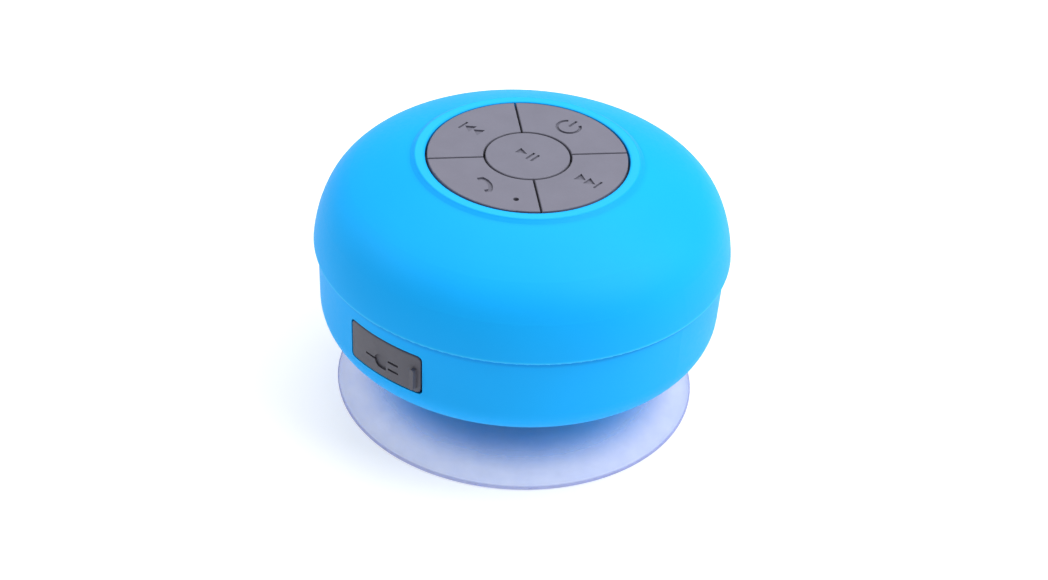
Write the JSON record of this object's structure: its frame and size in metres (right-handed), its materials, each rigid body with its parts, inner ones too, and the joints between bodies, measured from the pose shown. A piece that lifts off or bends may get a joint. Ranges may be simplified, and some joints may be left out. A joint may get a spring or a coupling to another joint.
{
  "type": "shower speaker",
  "caption": "Round waterproof speaker in a soft skin, with a five-key pad on top, a rubber flap over its charging socket and a suction cup under it.",
  "frame": {"origin": "centre of the suction cup's sealing rim, on the surface it stands on", "axes": "+Z along the puck's axis, up out of the key pad; the charging flap faces -Y"},
  "size_m": [0.086, 0.086, 0.0563],
  "materials": {
    "skin_blue": "soft-touch matte silicone",
    "key_grey": "soft matte silicone",
    "flap_grey": "matte silicone",
    "cup_clear": "translucent soft PVC, slightly blue",
    "abs_dark": "fine textured ABS",
    "abs_white": "switch and connector nylon",
    "seal_black": "nitrile",
    "steel_screw": "zinc plated",
    "steel_shell": "nickel plated sheet",
    "board_green": "solder mask",
    "chip_black": "moulded epoxy",
    "ferrite": "sintered ferrite",
    "can_aluminium": "drawn can",
    "led_clear": "clear epoxy",
    "cell_foil": "pouch foil",
    "foam_black": "closed cell foam",
    "mesh_black": "woven acoustic mesh",
    "frame_steel": "black pressed steel",
    "iron_zinc": "zinc plated iron",
    "paper_cone": "coated paper",
    "spider_cloth": "resin treated cloth",
    "coil_copper": "enamelled copper wire",
    "fibre_board": "pressed fibre",
    "wire_red": "PVC insulation",
    "wire_black": "PVC insulation"
  },
  "bodies": {
    "cup": {"suction_cup": "cup_clear"},
    "stud": {"cup_stud": "abs_dark"},
    "stud_ring": {"stud_o_ring": "seal_black"},
    "play_button": {"play_key": "key_grey", "play_switch_stem": "chip_black"},
    "next_button": {"next_key": "key_grey", "next_switch_stem": "chip_black"},
    "power_button": {"power_key": "key_grey", "power_switch_stem": "chip_black"},
    "previous_button": {"previous_key": "key_grey", "previous_switch_stem": "chip_black"},
    "phone_button": {"phone_key": "key_grey", "phone_switch_stem": "chip_black"},
    "flap": {"port_flap": "flap_grey"},
    "speaker": {"silicone_skin": "skin_blue", "upper_housing": "abs_dark", "lower_housing": "abs_dark", "base_plate": "abs_dark", "splash_mesh": "mesh_black", "keypad_mat": "key_grey", "main_board": "board_green", "switch_cases": "steel_shell", "microphone": "can_aluminium", "microphone_boot": "seal_black", "status_led": "led_clear", "radio_chip": "chip_black", "amplifier_chip": "chip_black", "memory_and_crystal": "chip_black", "power_inductors": "ferrite", "capacitor_cans": "can_aluminium", "battery_connector": "abs_white", "speaker_connector": "abs_white", "housing_screws": "steel_screw", "board_screws": "steel_screw", "base_screws": "steel_screw", "battery_cell": "cell_foil", "battery_pad": "foam_black", "driver_gasket": "foam_black", "driver_frame": "frame_steel", "driver_front_plate": "iron_zinc", "driver_magnet": "ferrite", "driver_yoke": "iron_zinc", "voice_coil": "coil_copper", "driver_spider": "spider_cloth", "driver_cone": "paper_cone", "driver_dust_cap": "paper_cone", "driver_surround": "seal_black", "driver_clamp": "abs_dark", "driver_screws": "steel_screw", "driver_terminals": "fibre_board", "housing_seal": "seal_black", "charge_board": "board_green", "charge_socket": "steel_shell", "charge_board_screws": "steel_screw", "flap_tether": "flap_grey", "battery_lead_red": "wire_red", "battery_lead_black": "wire_black", "speaker_leads": "wire_black", "charge_leads": "wire_red"}
  },
  "joints": [
    {"name": "cup_press", "type": "slide", "parent": "cup", "child": "stud", "axis": [0, 0, -1], "range_m": [0, 0.004], "stiffness_N_per_m": 3000, "deforming": ["suction_cup"]},
    {"name": "cup_swivel", "type": "hinge", "parent": "stud", "child": "stud_ring", "pos_m": [0, 0, 0.0199], "axis": [0, 0, 1], "continuous": true},
    {"name": "speaker_pull_off", "type": "slide", "parent": "stud_ring", "child": "speaker", "axis": [0, 0, 1], "range_m": [0, 0.016]},
    {"name": "play_press", "type": "slide", "parent": "speaker", "child": "play_button", "axis": [0, 0, -1], "range_m": [0, 0.00035], "stiffness_N_per_m": 600},
    {"name": "next_press", "type": "slide", "parent": "speaker", "child": "next_button", "axis": [0, 0, -1], "range_m": [0, 0.00035], "stiffness_N_per_m": 600},
    {"name": "power_press", "type": "slide", "parent": "speaker", "child": "power_button", "axis": [0, 0, -1], "range_m": [0, 0.00035], "stiffness_N_per_m": 600},
    {"name": "previous_press", "type": "slide", "parent": "speaker", "child": "previous_button", "axis": [0, 0, -1], "range_m": [0, 0.00035], "stiffness_N_per_m": 600},
    {"name": "phone_press", "type": "slide", "parent": "speaker", "child": "phone_button", "axis": [0, 0, -1], "range_m": [0, 0.00035], "stiffness_N_per_m": 600},
    {"name": "flap_swing", "type": "hinge", "parent": "speaker", "child": "flap", "pos_m": [-0.00926, -0.04092, 0.0278], "axis": [0, 0, -1], "range_deg": [0, 105]}
  ]
}
